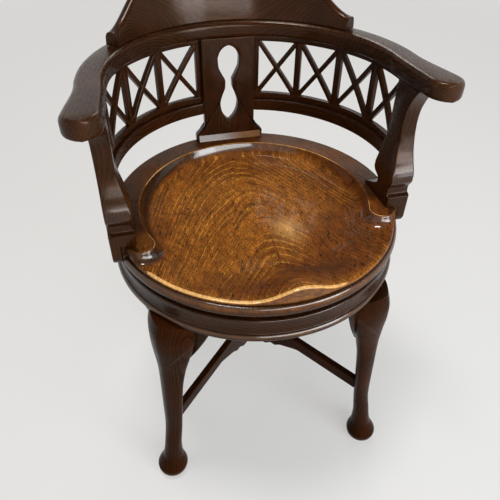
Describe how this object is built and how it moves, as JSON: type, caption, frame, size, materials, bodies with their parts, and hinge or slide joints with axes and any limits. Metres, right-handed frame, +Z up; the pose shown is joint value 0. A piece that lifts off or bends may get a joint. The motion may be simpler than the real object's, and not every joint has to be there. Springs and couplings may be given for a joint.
{
  "type": "revolving desk chair",
  "caption": "Oak revolving desk chair: a round dished seat with horseshoe arms turns on an iron spindle over a moulded ring frame, cabriole legs and an arched cross stretcher.",
  "frame": {"origin": "on the floor, under the middle of the whole chair", "axes": "+Z up, -Y towards the front of the seat, +X to the right of someone who faces the chair"},
  "size_m": [0.5234, 0.4824, 0.7703],
  "materials": {
    "seat_oak": "golden brown oak, worn and waxed to a soft gloss",
    "dark_oak": "dark stained oak, polished",
    "iron": "bare cast iron, darkened with age",
    "steel": "plain steel"
  },
  "bodies": {
    "base": {"ring_segment_left": "dark_oak", "ring_segment_front": "dark_oak", "ring_segment_right": "dark_oak", "ring_segment_back": "dark_oak", "leg_front_left": "dark_oak", "leg_front_right": "dark_oak", "leg_back_right": "dark_oak", "leg_back_left": "dark_oak", "bracket_front_left_a": "dark_oak", "bracket_front_left_b": "dark_oak", "bracket_front_right_a": "dark_oak", "bracket_front_right_b": "dark_oak", "bracket_back_right_a": "dark_oak", "bracket_back_right_b": "dark_oak", "bracket_back_left_a": "dark_oak", "bracket_back_left_b": "dark_oak", "stretcher_lower": "dark_oak", "stretcher_upper": "dark_oak", "bearer_across": "dark_oak", "bearer_along": "dark_oak", "swivel_socket": "iron", "socket_screw_1": "steel", "socket_screw_2": "steel", "socket_screw_3": "steel", "socket_screw_4": "steel"},
    "seat": {"seat": "seat_oak", "arm_support_left": "dark_oak", "lower_rail_left": "dark_oak", "fret_panel_left": "dark_oak", "arm_left": "dark_oak", "support_screw_left_1": "steel", "support_screw_left_2": "steel", "support_plug_left_1": "dark_oak", "support_plug_left_2": "dark_oak", "arm_support_right": "dark_oak", "lower_rail_right": "dark_oak", "fret_panel_right": "dark_oak", "arm_right": "dark_oak", "support_screw_right_1": "steel", "support_screw_right_2": "steel", "support_plug_right_1": "dark_oak", "support_plug_right_2": "dark_oak", "back_splat": "dark_oak", "bow_back": "dark_oak", "crest_rail": "dark_oak", "seat_plate": "iron", "plate_screw_1": "steel", "plate_screw_2": "steel", "plate_screw_3": "steel", "plate_screw_4": "steel", "spindle": "steel", "thrust_washer": "steel", "retaining_washer": "steel", "spindle_nut": "iron", "split_pin": "steel"}
  },
  "joints": [
    {"name": "seat_swivel", "type": "hinge", "parent": "base", "child": "seat", "pos_m": [0, -0.0052, 0.43], "axis": [0, 0, 1], "continuous": true}
  ]
}
